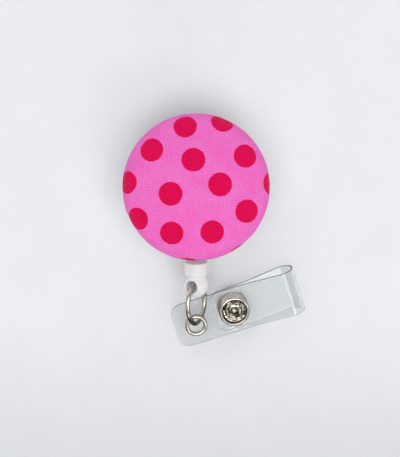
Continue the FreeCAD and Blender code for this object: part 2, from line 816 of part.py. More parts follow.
def make_strap_eyelet():
    """A rolled metal eyelet."""
    part = new_body("strap_eyelet")
    height = skin + eyelet_height
    roll_radius = (eyelet_flange - eyelet_bore) / 2
    roll_centre = eyelet_bore + roll_radius
    barrel = eyelet_bore + eyelet_wall
    sketch = new_sketch(part, "XZ_Plane")
    outline(sketch,
            (eyelet_bore, height - roll_radius),
            (roll_centre, height, -roll_radius),
            (eyelet_flange, height - roll_radius, -roll_radius),
            (eyelet_flange, skin),
            (barrel, skin),
            (barrel, -skin),
            (eyelet_flange, -skin),
            (eyelet_flange, roll_radius - height),
            (roll_centre, -height, -roll_radius),
            (eyelet_bore, roll_radius - height, -roll_radius))
    turned(part, sketch)
    part.Placement = strap_frame


def make_snap_post():
    """The snap's front ring with a ridge and a bead in its recess, and its barrel in the band."""
    part = new_body("snap_post")
    top = skin + snap_height
    recess = skin + snap_floor
    ridge = recess + ridge_radius
    bead_dome = (bead_radius * bead_radius + bead_rise * bead_rise) / (2 * bead_rise)
    rim_inside = snap_radius - snap_rim
    inner_roll = snap_rim / 4
    outer_roll = snap_rim - inner_roll
    rivet = post_barrel - rivet_wall
    sketch = new_sketch(part, "XZ_Plane")
    outline(sketch,
            (0, recess + bead_rise),
            (bead_radius, recess, -bead_dome),
            (spring_ring - ridge_radius, recess),
            (spring_ring - ridge_radius, ridge),
            (spring_ring, ridge + ridge_radius, -ridge_radius),
            (spring_ring + ridge_radius, ridge, -ridge_radius),
            (spring_ring + ridge_radius, recess),
            (rim_inside, recess),
            (rim_inside, top - inner_roll),
            (rim_inside + inner_roll, top, -inner_roll),
            (snap_radius, top - outer_roll, -outer_roll),
            (snap_radius, skin),
            (post_barrel, skin),
            (post_barrel, -skin),
            (rivet, -skin),
            (rivet, -(skin + socket_roof)),
            (0, -(skin + socket_roof)))
    turned(part, sketch)
    part.Placement = snap_frame


def make_snap_socket():
    """The drum between the leaves that the stud clicks into."""
    part = new_body("snap_socket")
    roof = skin + socket_roof
    foot = skin + snap_height
    edge = socket_roof / 2
    sketch = new_sketch(part, "XZ_Plane")
    outline(sketch,
            (post_barrel - rivet_wall, -skin),
            (snap_radius - edge, -skin),
            (snap_radius, -(skin + edge), -edge),
            (snap_radius, edge - foot),
            (snap_radius - edge, -foot, -edge),
            (stud_radius + stud_gap, -foot),
            (stud_radius + stud_gap, -roof),
            (post_barrel - rivet_wall, -roof))
    turned(part, sketch)
    part.Placement = snap_frame


def make_snap_stud():
    """The stud on the back leaf: a flange and a knob with a slight waist."""
    part = new_body("snap_stud")
    seat = skin - 2 * half_step
    flange = seat + stud_flange
    top = -(skin + stud_reach)
    waist = stud_radius - stud_waist
    sketch = new_sketch(part, "XZ_Plane")
    outline(sketch,
            (cap_barrel, seat),
            (snap_radius - stud_flange, seat),
            (snap_radius - stud_flange, flange),
            (waist, flange),
            (waist, flange + stud_slope),
            (stud_radius, flange + 2 * stud_slope),
            (stud_radius, top - stud_slope),
            (waist, top),
            (0, top),
            (0, top - stud_floor),
            (cap_barrel, top - stud_floor))
    turned(part, sketch)
    part.Placement = snap_frame


def make_snap_cap():
    """The smooth domed cap at the back, and the barrel that holds the stud."""
    part = new_body("snap_cap")
    seat = -(skin + 2 * half_step)
    rise = cap_height - cap_edge
    dome_radius = (cap_radius * cap_radius + rise * rise) / (2 * rise)
    barrel_end = -(skin + cap_reach)
    sketch = new_sketch(part, "XZ_Plane")
    outline(sketch,
            (0, seat - cap_height),
            (cap_radius, seat - cap_edge, dome_radius),
            (cap_radius, seat),
            (cap_barrel, seat),
            (cap_barrel, barrel_end),
            (0, barrel_end))
    turned(part, sketch)
    part.Placement = snap_frame


make_cord_end()
make_link_ring()
make_strap_front_leaf()
make_strap_back_leaf()
make_strap_eyelet()
make_snap_post()
make_snap_socket()
make_snap_stud()
make_snap_cap()


# ---- swivel clip ----------------------------------------------------------------------------

clip_top = -(washer_thickness + running_gap)
clip_under = clip_top - sheet_metal
lever_half_width = clip_half_width - sheet_metal - 2 * running_gap
lever_floor = sheet_metal - clip_depth


def make_swivel_rivet():
    """Turned about the swivel axis: a head inside the spool post and one behind the clip."""
    part = new_body("swivel_rivet")
    inner_seat = case_wall + running_gap
    inner_head = post_bore - 4 * running_gap
    outer_head = inner_head - rivet_step
    sketch = new_sketch(part, "XZ_Plane")
    outline(sketch,
            (0, clip_under - rivet_head),
            (outer_head - rivet_head / 2, clip_under - rivet_head),
            (outer_head, clip_under - rivet_head / 2, rivet_head / 2),
            (outer_head, clip_under),
            (rivet_radius, clip_under),
            (rivet_radius, inner_seat),
            (inner_head, inner_seat),
            (inner_head, inner_seat + rivet_head),
            (0, inner_seat + rivet_head))
    turned(part, sketch)


def make_swivel_washer():
    part = new_body("swivel_washer")
    sketch = new_sketch(part, "XY_Plane", clip_top)
    circle(sketch, clip_half_width)
    circle(sketch, rivet_radius)
    pad(part, sketch, washer_thickness)


def plate_outline(sketch, half_width, front, back, corner):
    """A plate along the clip from its tip at -front to its tab end at back."""
    outline(sketch,
            (half_width - corner, -front),
            (half_width, corner - front, corner),
            (half_width, back - corner),
            (half_width - corner, back, corner),
            (corner - half_width, back),
            (-half_width, back - corner, corner),
            (-half_width, corner - front),
            (corner - half_width, -front, corner))


def ear_outline(sketch, root_level, side):
    """A round-ended ear about the hinge pin; side is -1 when it hangs down, 1 when it stands."""
    tip = ear_radius * side
    outline(sketch,
            (hinge_distance - ear_radius, root_level),
            (hinge_distance - ear_radius, -hinge_depth),
            (hinge_distance, tip - hinge_depth, -tip),
            (hinge_distance + ear_radius, -hinge_depth, -tip),
            (hinge_distance + ear_radius, root_level))


def make_clip_base():
    """The plate on the swivel: its jaw's lip is turned down, and two ears carry the pin."""
    part = new_body("clip_base")
    plate = new_sketch(part, "XY_Plane", clip_under)
    plate_outline(plate, clip_half_width, jaw_reach, tab_reach, clip_corner)
    circle(plate, rivet_radius)
    pad(part, plate, sheet_metal)
    lip = new_sketch(part, "YZ_Plane")
    outline(lip,
            (-jaw_reach, clip_top - sheet_metal / 2),
            (-jaw_reach, clip_under - jaw_lip),
            (sheet_metal - jaw_reach, clip_under - jaw_lip),
            (sheet_metal - jaw_reach, clip_top - sheet_metal / 2))
    pad(part, lip, 2 * (clip_half_width - clip_corner), middle=True)
    for inner_face in (clip_half_width - sheet_metal, -clip_half_width):
        ear = new_sketch(part, "YZ_Plane", inner_face)
        ear_outline(ear, clip_top - sheet_metal / 2, -1)
        pad(part, ear, sheet_metal)
    hole = new_sketch(part, "YZ_Plane")
    drill(part, circle(hole, pin_radius, hinge_distance, -hinge_depth))


def make_clip_lever():
    """The lever: a finger tab, a flat back that the reel lies on, and the moving jaw."""
    part = new_body("clip_lever")
    tip_level = clip_under - jaw_lip - running_gap
    flat_end = jaw_reach - jaw_flat_gap
    inner_rise, inner_run = bend_rise - sheet_metal, bend_run - sheet_metal
    outer_bend = (bend_run * bend_run + bend_rise * bend_rise) / (2 * bend_rise)
    inner_bend = (inner_run * inner_run + inner_rise * inner_rise) / (2 * inner_rise)
    section = new_sketch(part, "YZ_Plane")
    outline(section,
            (-jaw_reach, tip_level),
            (-(flat_end + bend_run), bend_rise - clip_depth),
            (-flat_end, -clip_depth, outer_bend),
            (tab_reach, -clip_depth),
            (tab_reach, lever_floor),
            (-flat_end, lever_floor),
            (-(flat_end + inner_run), bend_rise - clip_depth, -inner_bend),
            (sheet_metal - jaw_reach, tip_level))
    pad(part, section, 2 * lever_half_width, middle=True)
    for inner_face in (lever_half_width - sheet_metal, -lever_half_width):
        ear = new_sketch(part, "YZ_Plane", inner_face)
        ear_outline(ear, lever_floor - sheet_metal / 2, 1)
        pad(part, ear, sheet_metal)
    hole = new_sketch(part, "YZ_Plane")
    drill(part, circle(hole, pin_radius + running_gap, hinge_distance, -hinge_depth))


def make_clip_pin():
    """The hinge pin, with a head outside each ear."""
    part = new_body("clip_pin")
    head = pin_radius * 1.5
    end = clip_half_width + pin_head
    sketch = new_sketch(part, "XY_Plane")
    outline(sketch,
            (-end, 0),
            (end, 0),
            (end, head),
            (clip_half_width, head),
            (clip_half_width, pin_radius),
            (-clip_half_width, pin_radius),
            (-clip_half_width, head),
            (-end, head))
    turned(part, sketch, axis="H_Axis")
    part.Placement = Placement(
        Vector(0, hinge_distance.value, -hinge_depth.value), Rotation())


def make_clip_spring():
    """A torsion spring around the pin; its two legs hold the finger tabs apart."""
    wire = sheet.clip_wire
    coil = sheet.clip_coil
    half = clip_turns.value / 2 + 0.25
    pitch = sheet.clip_pitch
    gap = 2 * sheet.running_gap
    pin_level = -sheet.hinge_depth
    base_rise = clip_under.value - wire - gap - pin_level
    lever_drop = pin_level - (lever_floor.value + wire + gap)
    helix = Part.makeHelix(pitch, 2 * half * pitch, coil)
    section = Part.Wire(Part.Circle(Vector(coil, 0, 0), Vector(0, 1, 0), wire).toShape())
    pieces = [Part.Wire(helix).makePipeShell([section], True, True)]
    for level, end_x, reach in ((0.0, coil, base_rise), (2 * half * pitch, -coil, -lever_drop)):
        start = Vector(end_x, 0, level)
        leg = Vector(reach - end_x, -sheet.clip_leg, 0)
        pieces.append(Part.makeSphere(wire, start))
        pieces.append(Part.makeCylinder(wire, leg.Length, start, leg))
    part = doc.addObject("Part::Feature", "clip_spring")
    part.Label = "clip_spring"
    part.Shape = pieces[0].multiFuse(pieces[1:])
    part.Placement = frame_from(
        Vector(-half * pitch, sheet.hinge_distance, pin_level), Vector(0, 0, 1), Vector(1, 0, 0))
    sub_parts.append(part)


make_swivel_rivet()
make_swivel_washer()
make_clip_base()
make_clip_lever()
make_clip_pin()
make_clip_spring()


# ---- build, check and write -----------------------------------------------------------------

for part in sub_parts:
    part.Placement = Placement(Vector(0, 0, clip_depth.value), Rotation()) * part.Placement
doc.recompute()
for thing in doc.Objects:
    faults = [state for state in thing.State if state in ("Invalid", "Error")]
    if faults:
        raise RuntimeError(f"{thing.Name} did not build: {thing.State} {thing.getStatusString()}")
os.makedirs("parts", exist_ok=True)
for part in sub_parts:
    if part.Shape.isNull() or not part.Shape.isValid() or not part.Shape.Solids:
        raise RuntimeError(f"{part.Label} has no sound solid")
for part in sub_parts:
    part.Shape.exportStep(f"parts/{part.Label}.step")
    print(f"{part.Label}: {part.Shape.Volume:.1f} mm3, {len(part.Shape.Solids)} solid(s)")
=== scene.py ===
"""Looks of the retractable badge reel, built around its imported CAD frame. Everything is in metres."""

import json
import math
import random

import bmesh
import bpy
import numpy as np
from mathutils import Matrix, Vector
from mathutils.geometry import delaunay_2d_cdt


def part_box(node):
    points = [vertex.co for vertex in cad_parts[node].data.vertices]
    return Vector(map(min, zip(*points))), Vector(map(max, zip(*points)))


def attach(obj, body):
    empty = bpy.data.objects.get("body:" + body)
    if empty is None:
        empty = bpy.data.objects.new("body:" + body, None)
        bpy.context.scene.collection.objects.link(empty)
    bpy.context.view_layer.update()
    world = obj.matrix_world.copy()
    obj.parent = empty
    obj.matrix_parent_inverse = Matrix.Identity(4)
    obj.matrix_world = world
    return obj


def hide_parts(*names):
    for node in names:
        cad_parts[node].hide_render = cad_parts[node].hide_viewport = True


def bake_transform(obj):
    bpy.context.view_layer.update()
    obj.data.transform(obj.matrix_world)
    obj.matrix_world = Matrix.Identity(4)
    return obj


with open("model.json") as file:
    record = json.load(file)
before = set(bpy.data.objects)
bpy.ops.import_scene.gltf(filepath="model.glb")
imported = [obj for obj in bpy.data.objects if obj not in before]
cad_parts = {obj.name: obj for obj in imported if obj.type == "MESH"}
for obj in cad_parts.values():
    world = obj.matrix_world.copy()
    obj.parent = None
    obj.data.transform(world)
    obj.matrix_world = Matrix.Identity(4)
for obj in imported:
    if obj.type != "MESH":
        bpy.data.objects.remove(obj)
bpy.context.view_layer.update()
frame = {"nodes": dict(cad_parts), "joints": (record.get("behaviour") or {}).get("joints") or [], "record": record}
nodes = frame["nodes"]
joints = {joint["name"]: joint for joint in frame["joints"]}
MM = 0.001
TURN = 2 * math.pi
TINY = 1e-9
SHARP_EDGE = math.radians(50)


# ---- places read from the frame --------------------------------------------------------------

button_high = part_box("fabric_cover")[1]
BUTTON_RADIUS = button_high.x
BUTTON_TOP = button_high.z
BUTTON_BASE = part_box("adhesive_pad")[1].z
CORD_LEVEL = (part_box("front_case")[1].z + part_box("rear_case")[0].z) / 2
FLOOR_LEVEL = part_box("clip_lever")[0].z

ball_centre = Vector(joints["link_swing"]["pos_m"])
cord_direction = Vector(joints["cord_end_spin"]["axis"]).normalized()
eyelet_centre = Vector(joints["strap_swing"]["pos_m"])
strap_normal = Vector(joints["strap_swing"]["axis"]).normalized()
strap_across = -Vector(joints["strap_open"]["axis"]).normalized()
strap_along = strap_across.cross(strap_normal).normalized()
fold_hinge = Vector(joints["strap_open"]["pos_m"])


def axes_frame(origin, x_axis, y_axis, z_axis):
    """A matrix that places a piece drawn about its own origin."""
    matrix = Matrix((x_axis, y_axis, z_axis)).transposed().to_4x4()
    matrix.translation = origin
    return matrix


strap_frame = axes_frame(eyelet_centre, strap_along, strap_across, strap_normal)


# ---- mesh helpers ---------------------------------------------------------------------------

def mesh_piece(name, points, faces):
    """A smooth-shaded mesh object from points and faces."""
    mesh = bpy.data.meshes.new(name)
    mesh.from_pydata([tuple(point) for point in points], [], faces)
    mesh.validate()
    mesh.update()
    mesh.shade_smooth()
    piece = bpy.data.objects.new(name, mesh)
    bpy.context.scene.collection.objects.link(piece)
    return piece


def turn_profile(name, profile, segments=96, matrix=Matrix()):
    """Turn a closed profile of (radius, height) points about z. Points on the axis become poles."""
    points, rings, faces = [], [], []
    for radius, height in profile:
        if radius < TINY:
            rings.append([len(points)] * segments)
            points.append(matrix @ Vector((0, 0, height)))
            continue
        rings.append(list(range(len(points), len(points) + segments)))
        for step in range(segments):
            angle = TURN * step / segments
            points.append(matrix @ Vector(
                (radius * math.cos(angle), radius * math.sin(angle), height)))
    for lower, upper in zip(rings, rings[1:] + rings[:1]):
        for step in range(segments):
            following = (step + 1) % segments
            corners = [lower[step], lower[following], upper[following], upper[step]]
            face = [c for n, c in enumerate(corners) if c not in corners[:n]]
            if len(face) > 2:
                faces.append(face)
    piece = mesh_piece(name, points, faces)
    outward_normals(piece)
    return piece


def outward_normals(piece):
    """Turn every face of a closed mesh outwards."""
    edit = bmesh.new()
    edit.from_mesh(piece.data)
    bmesh.ops.recalc_face_normals(edit, faces=edit.faces)
    edit.to_mesh(piece.data)
    edit.free()


def tube(name, centres, radius, sides=16, closed=False):
    """A round tube along a line of centres, with flat ends unless it is closed."""
    centres = [Vector(c) for c in centres]
    count = len(centres)
    points, faces = [], []
    side_axis = None
    for place, centre in enumerate(centres):
        before = centres[place - 1] if closed or place else centre
        after = centres[(place + 1) % count] if closed or place + 1 < count else centre
        heading = (after - before).normalized()
        if side_axis is None:
            side_axis = heading.orthogonal().normalized()
        side_axis = (side_axis - heading * side_axis.dot(heading)).normalized()
        other_axis = heading.cross(side_axis)
        for step in range(sides):
            angle = TURN * step / sides
            points.append(centre + (side_axis * math.cos(angle)
                                    + other_axis * math.sin(angle)) * radius)
    for place in range(count if closed else count - 1):
        ring, following = place * sides, (place + 1) % count * sides
        for step in range(sides):
            beside = (step + 1) % sides
            faces.append([ring + step, ring + beside, following + beside, following + step])
    if not closed:
        faces.append(list(range(sides))[::-1])
        faces.append(list(range((count - 1) * sides, count * sides)))
    piece = mesh_piece(name, points, faces)
    outward_normals(piece)
    return piece


def arc_points(centre, radius, start, end, steps):
    """Points (x, y) along an arc, angles in degrees, both ends included."""
    angles = [math.radians(start + (end - start) * n / steps) for n in range(steps + 1)]
    return [(centre[0] + radius * math.cos(a), centre[1] + radius * math.sin(a)) for a in angles]


# ---- shader helpers -------------------------------------------------------------------------

class Shader:
    """A node material that is written as calls. Sockets given as inputs are linked."""

    def __init__(self, name, world=False):
        kind = bpy.data.worlds if world else bpy.data.materials
        self.owner = kind.new(name)
        self.owner.use_nodes = True
        self.tree = self.owner.node_tree
        self.tree.nodes.clear()
        self.output = self.tree.nodes.new("ShaderNodeOutput" + ("World" if world else "Material"))

    def add(self, kind, settings=None, **inputs):
        """A node of this kind. Inputs go by name, or by number when written i0, i1 and so on."""
        node = self.tree.nodes.new("ShaderNode" + kind)
        for key, value in (settings or {}).items():
            setattr(node, key, value)
        for key, value in inputs.items():
            self.feed(node, key.replace("_", " "), value)
        return node

    def feed(self, node, key, value):
        """Set one input of a node, or link it when the value is another node's output."""
        socket = node.inputs[int(key[1:])] if key[0] == "i" and key[1:].isdigit() else node.inputs[key]
        if isinstance(value, bpy.types.NodeSocket):
            self.tree.links.new(value, socket)
        else:
            socket.default_value = value

    def calc(self, operation, first, second=0.0):
        """A calculation with numbers."""
        return self.add("Math", {"operation": operation}, i0=first, i1=second).outputs[0]

    def vector(self, operation, **inputs):
        """A calculation with vectors. Distances and lengths come out as one number."""
        node = self.add("VectorMath", {"operation": operation}, **inputs)
        return node.outputs["Value" if operation in ("DISTANCE", "LENGTH") else "Vector"]

    def axes(self, vector):
        """The three components of a vector."""
        return self.add("SeparateXYZ", Vector=vector).outputs

    def mix(self, amount, first, second, blend="MIX"):
        """A colour between two others, by the amount."""
        node = self.add("Mix", {"data_type": "RGBA", "blend_type": blend})
        self.feed(node, "i0", amount)
        self.feed(node, "i6", first)
        self.feed(node, "i7", second)
        return node.outputs[2]

    def mix_shaders(self, amount, first, second):
        """A surface between two others, by the amount."""
        node = self.add("MixShader", i0=amount, i1=first.outputs[0], i2=second.outputs[0])
        return node.outputs[0]

    def place(self, source="Object"):
        """Where the shaded point is: in metres along the frame's axes, or from another source."""
        return self.add("TexCoord").outputs[source]

    def noise(self, vector, size_mm, detail=3.0, roughness=0.5):
        """Noise whose features are about this many millimetres across."""
        node = self.add("TexNoise", Vector=vector, Scale=1 / (size_mm * MM), Detail=detail,
                        Roughness=roughness)
        return node.outputs["Fac"]

    def remap(self, value, low, high, new_low=0.0, new_high=1.0):
        """A soft step from new_low to new_high while the value goes from low to high."""
        node = self.add("MapRange", {"interpolation_type": "SMOOTHSTEP"}, Value=value)
        for key, number in (("i1", low), ("i2", high), ("i3", new_low), ("i4", new_high)):
            self.feed(node, key, number)
        return node.outputs[0]

    def bump(self, height, depth_mm, strength=1.0):
        """A normal tilted by relief of this depth."""
        node = self.add("Bump", Strength=strength, Distance=depth_mm * MM, Height=height)
        return node.outputs[0]

    def finish(self, shader):
        """Connect the finished surface and give back the material or world."""
        self.tree.links.new(shader, self.output.inputs["Surface"])
        return self.owner


def srgb(red, green, blue):
    """A colour given in 0-255 display values, as linear RGBA."""
    def linear(c):
        c /= 255
        return c / 12.92 if c <= 0.04045 else ((c + 0.055) / 1.055) ** 2.4
    return (linear(red), linear(green), linear(blue), 1.0)


def dress(piece, material):
    """Give a piece one material."""
    piece.data.materials.clear()
    piece.data.materials.append(material)
    return piece


# ---- materials ------------------------------------------------------------------------------

THREAD_PITCH = 0.48 * MM
WEAVE_TURN = math.radians(38)
DOT_RADIUS = 3.1 * MM
DOT_BLUR = 0.06 * MM
DOT_RAGGED = 0.35 * MM
# Middles of the dots, in millimetres from the button's middle on the flattened cloth.
DOT_PLACES = [
    (-2.9, 16.0), (7.1, 17.6), (-11.7, 9.7), (-0.7, 7.0), (12.9, 8.1),
    (-18.7, 1.2), (-6.6, -1.8), (6.2, 0.6), (21.0, 1.0), (13.3, -6.4),
    (-15.7, -8.6), (-6.4, -12.1), (4.2, -11.8), (12.6, -19.3), (-2.2, -22.6),
]


def weave(shader, place):
    """A plain weave from crossed threads: returns its height and which of the two threads is on top."""
    axes = shader.axes(place)
    across = shader.calc("DIVIDE", axes[0], THREAD_PITCH)
    along = shader.calc("DIVIDE", axes[1], THREAD_PITCH)
    ridges = []
    for value in (across, along):
        wave = shader.calc("SINE", shader.calc("MULTIPLY", value, math.pi))
        ridges.append(shader.calc("ABSOLUTE", wave))
    checker = shader.calc("MODULO", shader.calc("ADD", shader.calc("FLOOR", across),
                                                shader.calc("FLOOR", along)), 2.0)
    on_top = shader.calc("ABSOLUTE", checker)
    height = shader.add("Mix", {"data_type": "FLOAT"}, i0=on_top, i2=ridges[0],
                        i3=ridges[1]).outputs[0]
    return height, on_top


def printed_dots(shader, place):
    """One within the printed dots and zero outside, with edges as ragged as the threads."""
    wobble = shader.add("TexNoise", Vector=place, Scale=1 / (0.55 * MM), Detail=2.0).outputs["Color"]
    shift = shader.vector("SUBTRACT", i0=wobble, i1=(0.5, 0.5, 0.5))
    shift = shader.vector("SCALE", i0=shift, Scale=DOT_RAGGED)
    ragged = shader.vector("ADD", i0=place, i1=shift)
    nearest = None
    for x, y in DOT_PLACES:
        gap = shader.vector("DISTANCE", i0=ragged, i1=(x * MM, y * MM, 0))
        nearest = gap if nearest is None else shader.calc("MINIMUM", nearest, gap)
    return shader.remap(nearest, DOT_RADIUS + DOT_BLUR, DOT_RADIUS - DOT_BLUR)


def cotton_print():
    """Printed cotton: pink ground with crimson dots, in a plain weave that lies at a slant, with painted shade in
    its furrows and painted highlights on the upper threads.
    """
    s = Shader("cotton_print")
    flat = s.add("Attribute", {"attribute_name": "cloth_place"}).outputs["Vector"]
    turned = s.add("VectorRotate", {"rotation_type": "Z_AXIS"}, Vector=flat,
                   Angle=WEAVE_TURN).outputs[0]
    height, on_top = weave(s, turned)
    dot = printed_dots(s, flat)
    blotch = s.noise(flat, 6)
    fibre = s.noise(flat, 0.22, detail=4)
    ground = s.mix(s.remap(blotch, 0.3, 0.7), srgb(255, 100, 200), srgb(255, 116, 208))
    # Painted highlight: where a thread lies on top, the ground and the ink are lighter.
    ground = s.mix(s.calc("MULTIPLY", on_top, 0.42), ground, srgb(255, 150, 220))
    ink = s.mix(s.remap(blotch, 0.3, 0.7), srgb(230, 0, 77), srgb(236, 2, 84))
    ink = s.mix(s.calc("MULTIPLY", on_top, 0.25), ink, srgb(248, 20, 100))
    colour = s.mix(dot, ground, ink)
    # Painted shade: the colour darkens into the weave's furrows; random fibre tone is mixed in.
    weave_shade_and_fibre_tone = s.remap(height, 0.0, 0.75, 0.50, 1.12)
    weave_shade_and_fibre_tone = s.calc("MULTIPLY", weave_shade_and_fibre_tone, s.remap(fibre, 0.25, 0.75, 0.82, 1.10))
    shade = s.add("CombineXYZ", X=weave_shade_and_fibre_tone, Y=weave_shade_and_fibre_tone, Z=weave_shade_and_fibre_tone).outputs[0]
    colour = s.mix(1.0, colour, shade, "MULTIPLY")

    rise = s.calc("ADD", height, s.calc("MULTIPLY", fibre, 0.35))
    cloth = s.add("BsdfPrincipled", Base_Color=colour, Roughness=0.82,
                  Normal=s.bump(rise, 0.06, 0.7))
    s.feed(cloth, "Sheen Weight", 0.06)
    s.feed(cloth, "Specular IOR Level", 0.08)
    return s.finish(cloth.outputs[0])


def nickel(name="nickel", warmth=0.5, roughness=0.16, recess=None):
    """Plated metal with fine polishing marks, a little tarnish, and a painted dark reflection on its flanks.

    With a recess, the metal from an inner to an outer distance of a centre gets mottled painted shade."""
    s = Shader(name)
    place = s.place()
    cloud = s.noise(place, 1.6)
    grit = s.noise(place, 0.12, detail=5)
    light = srgb(214, 208, 198)
    dark = srgb(176, 168, 152)
    colour = s.mix(s.remap(cloud, 0.35, 0.75, 0.0, warmth), light, dark)
    # Painted reflection: flanks, most of all those facing the front, are darkened towards near-black, as if they
    # mirrored a dark room.
    flank = s.add("LayerWeight", Blend=0.5).outputs["Facing"]
    facing = s.axes(s.add("NewGeometry").outputs["Normal"])
    painted_reflection_mask = s.calc("SUBTRACT", flank, s.calc("MULTIPLY", facing[1], 0.45))
    colour = s.mix(s.remap(painted_reflection_mask, 0.38, 0.62, 0.0, 0.95), colour, srgb(40, 30, 32))
    if recess:
        centre, inner, outer = recess
        reach = s.vector("DISTANCE", i0=place, i1=centre)
        inside = s.calc("MULTIPLY", s.remap(reach, outer, outer - 0.3 * MM),
                        s.remap(reach, inner, inner + 0.2 * MM))
        # Painted shade: dark mottled patches across the recess.
        painted_recess_shade = s.remap(s.noise(place, 0.8, detail=2), 0.42, 0.56, 0.15, 0.9)
        colour = s.mix(s.calc("MULTIPLY", inside, painted_recess_shade), colour, srgb(66, 56, 44))
    rough = s.remap(s.noise(place, 0.7), 0.3, 0.7, roughness * 0.7, roughness * 1.5)
    metal = s.add("BsdfPrincipled", Base_Color=colour, Metallic=1.0, Roughness=rough,
                  Normal=s.bump(grit, 0.01, 0.35))
    return s.finish(metal.outputs[0])


def moulded_plastic(name, colour, roughness=0.35, depth=0.0, grain=0.5, seam=None):
    """Moulded plastic with a fine matt grain, soft flow marks and, if deep, light inside it.

    A seam is the height where two halves meet: a shallow dark groove runs round there."""
    s = Shader(name)
    place = s.place()
    flow = s.noise(place, 5)
    darker = tuple(c * 0.93 for c in colour[:3]) + (1.0,)
    tint = s.mix(s.remap(flow, 0.3, 0.7), darker, colour)
    if seam is not None:
        away = s.calc("ABSOLUTE", s.calc("SUBTRACT", s.axes(place)[2], seam))
        groove = s.remap(away, 0.18 * MM, 0.04 * MM, 0.0, 0.75)
        tint = s.mix(groove, tint, srgb(96, 96, 98))
    rough = s.remap(s.noise(place, 1.2), 0.3, 0.7, roughness * 0.85, roughness * 1.2)
    plastic = s.add("BsdfPrincipled", Base_Color=tint, Roughness=rough,
                    Normal=s.bump(s.noise(place, 0.15), 0.01, grain))
    if depth:
        s.feed(plastic, "Subsurface Weight", depth)
        s.feed(plastic, "Subsurface Radius", (1.2, 1.2, 1.1))
        s.feed(plastic, "Subsurface Scale", 1.5 * MM)
    return s.finish(plastic.outputs[0])


def clear_vinyl():
    """Soft clear vinyl: light goes through, its faces gleam and its cut edges look grey-green."""
    s = Shader("clear_vinyl")
    place = s.place()
    ripple = s.noise(place, 9, detail=2)
    haze = s.noise(place, 0.4, detail=4)
    bump = s.bump(ripple, 0.12, 0.5)
    rough = s.remap(haze, 0.35, 0.75, 0.04, 0.12)
    sheet = s.add("BsdfPrincipled", Base_Color=srgb(240, 242, 241), Roughness=rough, IOR=1.5,
                  Normal=bump)
    s.feed(sheet, "Transmission Weight", 1.0)
    see_through = s.add("BsdfTransparent", Color=srgb(250, 251, 251))
    path = s.add("LightPath").outputs
    unseen = s.calc("MAXIMUM", path["Is Shadow Ray"], path["Is Diffuse Ray"])
    return s.finish(s.mix_shaders(unseen, sheet, see_through))


def vinyl_edge():
    """The vinyl's cut edge: the same sheet seen through its length, darker and slightly green."""
    s = Shader("vinyl_edge")
    streak = s.noise(s.place(), 0.5, detail=3)
    colour = s.mix(s.remap(streak, 0.3, 0.7), srgb(150, 158, 158), srgb(186, 194, 193))
    edge = s.add("BsdfPrincipled", Base_Color=colour, Roughness=0.25, IOR=1.5)
    s.feed(edge, "Transmission Weight", 0.45)
    return s.finish(edge.outputs[0])


def braided_cord():
    """White nylon cord with a fine diagonal braid, with painted shade where the braid sinks."""
    s = Shader("nylon_cord")
    axes = s.axes(s.place())
    across = s.calc("MULTIPLY", axes[0], TURN / (0.8 * MM))
    along = s.calc("MULTIPLY", axes[1], TURN / (0.5 * MM))
    strands = [s.calc("SINE", s.calc(way, along, across)) for way in ("ADD", "SUBTRACT")]
    braid = s.calc("MULTIPLY", *strands)
    # Painted shade: the braid's low places are darker.
    colour = s.mix(s.remap(braid, -1, 1), srgb(214, 215, 216), srgb(244, 244, 243))
    cord = s.add("BsdfPrincipled", Base_Color=colour, Roughness=0.6,
                 Normal=s.bump(braid, 0.05, 0.6))
    return s.finish(cord.outputs[0])


def foam_pad():
    """Adhesive foam: fine closed cells."""
    s = Shader("adhesive")
    cells = s.add("TexVoronoi", Vector=s.place(), Scale=1 / (0.25 * MM)).outputs["Distance"]
    colour = s.mix(s.remap(cells, 0.0, 0.8), srgb(232, 231, 226), srgb(205, 204, 198))
    foam = s.add("BsdfPrincipled", Base_Color=colour, Roughness=0.9, Normal=s.bump(cells, 0.05))
    return s.finish(foam.outputs[0])


def brushed_steel(name, tint, roughness):
    """Stamped sheet steel with rolling lines along the sheet and worn, brighter patches."""
    s = Shader(name)
    place = s.place()
    stretched = s.add("Mapping", Vector=place, Scale=(1.0, 0.06, 1.0)).outputs[0]
    lines = s.noise(stretched, 0.12, detail=4)
    wear = s.noise(place, 3)
    colour = s.mix(s.remap(wear, 0.35, 0.7), tint, tuple(min(1, c * 1.18) for c in tint[:3]) + (1,))
    rough = s.remap(lines, 0.3, 0.7, roughness * 0.8, roughness * 1.35)
    steel = s.add("BsdfPrincipled", Base_Color=colour, Metallic=1.0, Roughness=rough,
                  Normal=s.bump(lines, 0.015, 0.5))
    return s.finish(steel.outputs[0])


MATERIALS = {
    "cotton_print": cotton_print(),
    "shell_metal": brushed_steel("shell_metal", srgb(196, 196, 194), 0.32),
    "adhesive": foam_pad(),
    "satin_nickel": nickel("satin_nickel", warmth=0.3, roughness=0.4),
    "case_plastic": moulded_plastic("case_plastic", srgb(236, 236, 236), 0.38, seam=CORD_LEVEL),
    "spool_plastic": moulded_plastic("spool_plastic", srgb(222, 222, 218), 0.45),
    "spring_steel": brushed_steel("spring_steel", srgb(150, 152, 156), 0.25),
    "nylon_cord": braided_cord(),
    "cord_end_plastic": moulded_plastic("cord_end_plastic", srgb(243, 243, 243), 0.2, 0.35, 0.2),
    "nickel": nickel(),
    "clip_steel": brushed_steel("clip_steel", srgb(200, 199, 196), 0.22),
    "clear_vinyl": clear_vinyl(),
    "vinyl_edge": vinyl_edge(),
}


def dress_nodes():
    """Every CAD node that stays in sight takes the material of its slot."""
    slots = {part["node"]: part["material_slot"] for part in frame["record"]["subparts"]}
    for name, node in nodes.items():
        dress(node, MATERIALS[slots[name]])


# ---- covered button -------------------------------------------------------------------------

